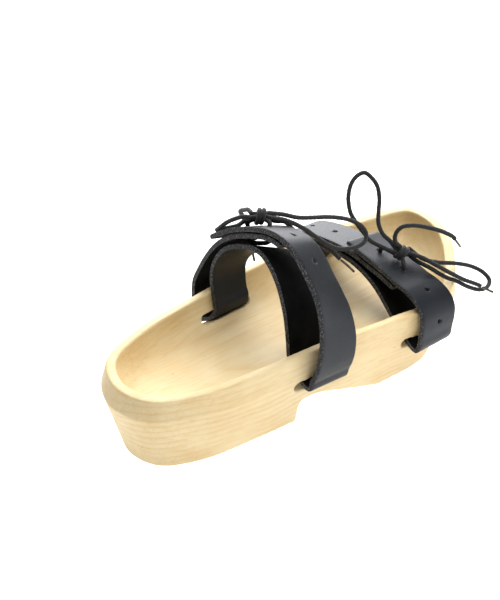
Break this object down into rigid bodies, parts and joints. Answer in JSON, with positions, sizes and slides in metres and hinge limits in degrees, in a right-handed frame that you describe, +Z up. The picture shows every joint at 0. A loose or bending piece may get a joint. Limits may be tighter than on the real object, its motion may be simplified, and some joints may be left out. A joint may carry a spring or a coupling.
{
  "type": "sandal",
  "caption": "Right-foot sandal: a carved one-piece wooden sole with two leather straps threaded through slots in its sides, each closed by a tied lace.",
  "frame": {"origin": "on the floor, under the middle of the box around sole and straps", "axes": "+Y from heel to toe, +X to the outer side of the right foot, +Z up"},
  "size_m": [0.134, 0.2658, 0.1098],
  "materials": {
    "pale_wood": "fine sanded, unvarnished",
    "black_leather": "smooth grain outside, suede inside, raw cut edges",
    "black_lace": "round braided cord, matt",
    "lace_tip": "thin hard tip"
  },
  "bodies": {
    "root": {"sole": "pale_wood", "rear_strap": "black_leather", "front_strap": "black_leather", "rear_lace_bar": "black_lace", "front_lace_bar": "black_lace", "rear_lace_knot": "black_lace", "front_lace_knot": "black_lace", "rear_lace_loop_toe": "black_lace", "rear_lace_loop_inner": "black_lace", "rear_lace_end_toe": "black_lace", "rear_lace_end_inner": "black_lace", "front_lace_loop_up": "black_lace", "front_lace_loop_outer": "black_lace", "front_lace_end_up": "black_lace", "front_lace_end_outer": "black_lace", "rear_lace_tip_toe": "lace_tip", "rear_lace_tip_inner": "lace_tip", "front_lace_tip_up": "lace_tip", "front_lace_tip_outer": "lace_tip"}
  },
  "joints": []
}
